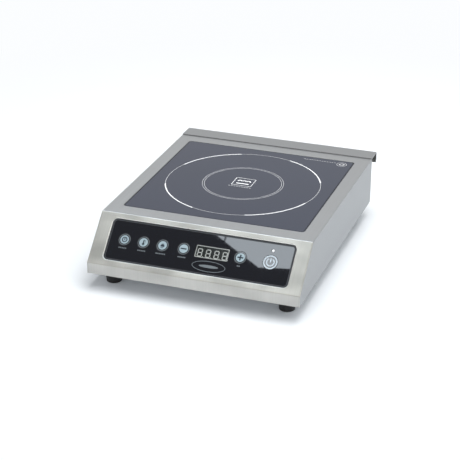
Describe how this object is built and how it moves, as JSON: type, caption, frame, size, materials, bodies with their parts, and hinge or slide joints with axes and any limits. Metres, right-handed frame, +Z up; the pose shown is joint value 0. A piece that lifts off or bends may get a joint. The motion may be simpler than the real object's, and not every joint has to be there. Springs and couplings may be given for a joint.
{
  "type": "induction hot plate",
  "caption": "Counter-top induction hot plate: folded stainless housing, flush black glass plate, slanted panel with round keys and digits, rear air hood, rubber feet, fan and coil inside.",
  "frame": {"origin": "middle of the footprint, on the surface that the feet stand on", "axes": "+X to the right-hand side seen from the front, +Y to the rear with the air hood, +Z up"},
  "size_m": [0.327, 0.425, 0.099],
  "materials": {
    "stainless": "brushed stainless sheet, grain front to back on the deck and down the fascia",
    "zinc_steel": "plain galvanised sheet",
    "black_glass": "opaque black glass-ceramic, polished, with fine printed zone rings",
    "seal": "dull silicone bead",
    "panel_black": "gloss black overlay with light printed lines",
    "smoked_window": "smoked, glossy",
    "lamp": "clear moulded lamp",
    "key_face": "gloss, pale blue printed disc in a light ring on black",
    "grey_plastic": "matt",
    "black_plastic": "matt moulded",
    "white_plastic": "matt heat-resistant moulding",
    "board": "green solder mask",
    "copper": "enamelled copper winding",
    "ferrite": "sintered, dull",
    "mica": "pressed mica sheet",
    "aluminium": "extruded, plain",
    "foot_rubber": "moulded black rubber"
  },
  "bodies": {
    "housing": {"housing_shell": "stainless", "rear_panel": "stainless", "base_plate": "zinc_steel", "glass_plate": "black_glass", "glass_seal": "seal", "glass_support_frame": "zinc_steel", "control_panel": "panel_black", "display_window": "smoked_window", "display_module": "black_plastic", "power_led": "lamp", "switch_timer": "grey_plastic", "switch_temperature": "grey_plastic", "switch_power": "grey_plastic", "switch_down": "grey_plastic", "switch_up": "grey_plastic", "switch_on_off": "grey_plastic", "control_board": "board", "buzzer": "black_plastic", "control_ribbon": "grey_plastic", "coil_former": "white_plastic", "induction_coil": "copper", "ferrite_bar_1": "ferrite", "ferrite_bar_2": "ferrite", "ferrite_bar_3": "ferrite", "ferrite_bar_4": "ferrite", "ferrite_bar_5": "ferrite", "ferrite_bar_6": "ferrite", "mica_sheet": "mica", "pan_sensor": "white_plastic", "main_board": "board", "heatsink": "aluminium", "transistor_1": "black_plastic", "transistor_2": "black_plastic", "bridge_rectifier": "black_plastic", "dc_link_capacitor": "white_plastic", "resonance_capacitor": "white_plastic", "filter_choke": "copper", "terminal_block": "white_plastic", "fan_frame": "black_plastic", "fan_guard": "zinc_steel", "air_duct": "grey_plastic", "gland_body": "black_plastic", "gland_dome_nut": "black_plastic", "gland_locknut": "black_plastic", "foot_front_left": "foot_rubber", "foot_front_right": "foot_rubber", "foot_rear_left": "foot_rubber", "foot_rear_right": "foot_rubber", "foot_screw_front_left": "zinc_steel", "foot_screw_front_right": "zinc_steel", "foot_screw_rear_left": "zinc_steel", "foot_screw_rear_right": "zinc_steel"},
    "fan": {"fan_rotor": "black_plastic"},
    "timer_key": {"key_timer": "key_face"},
    "temperature_key": {"key_temperature": "key_face"},
    "power_key": {"key_power": "key_face"},
    "down_key": {"key_down": "key_face"},
    "up_key": {"key_up": "key_face"},
    "on_off_key": {"key_on_off": "key_face"}
  },
  "joints": [
    {"name": "fan_spin", "type": "hinge", "parent": "housing", "child": "fan", "pos_m": [-0.085, -0.075, 0.04], "axis": [0, 0, 1], "continuous": true},
    {"name": "timer_press", "type": "slide", "parent": "housing", "child": "timer_key", "axis": [0, 0.6945, -0.7195], "range_m": [0, 0.0004], "stiffness_N_per_m": 1000, "springref_m": -0.001},
    {"name": "temperature_press", "type": "slide", "parent": "housing", "child": "temperature_key", "axis": [0, 0.6945, -0.7195], "range_m": [0, 0.0004], "stiffness_N_per_m": 1000, "springref_m": -0.001},
    {"name": "power_press", "type": "slide", "parent": "housing", "child": "power_key", "axis": [0, 0.6945, -0.7195], "range_m": [0, 0.0004], "stiffness_N_per_m": 1000, "springref_m": -0.001},
    {"name": "down_press", "type": "slide", "parent": "housing", "child": "down_key", "axis": [0, 0.6945, -0.7195], "range_m": [0, 0.0004], "stiffness_N_per_m": 1000, "springref_m": -0.001},
    {"name": "up_press", "type": "slide", "parent": "housing", "child": "up_key", "axis": [0, 0.6945, -0.7195], "range_m": [0, 0.0004], "stiffness_N_per_m": 1000, "springref_m": -0.001},
    {"name": "on_off_press", "type": "slide", "parent": "housing", "child": "on_off_key", "axis": [0, 0.6945, -0.7195], "range_m": [0, 0.0004], "stiffness_N_per_m": 1000, "springref_m": -0.001}
  ]
}
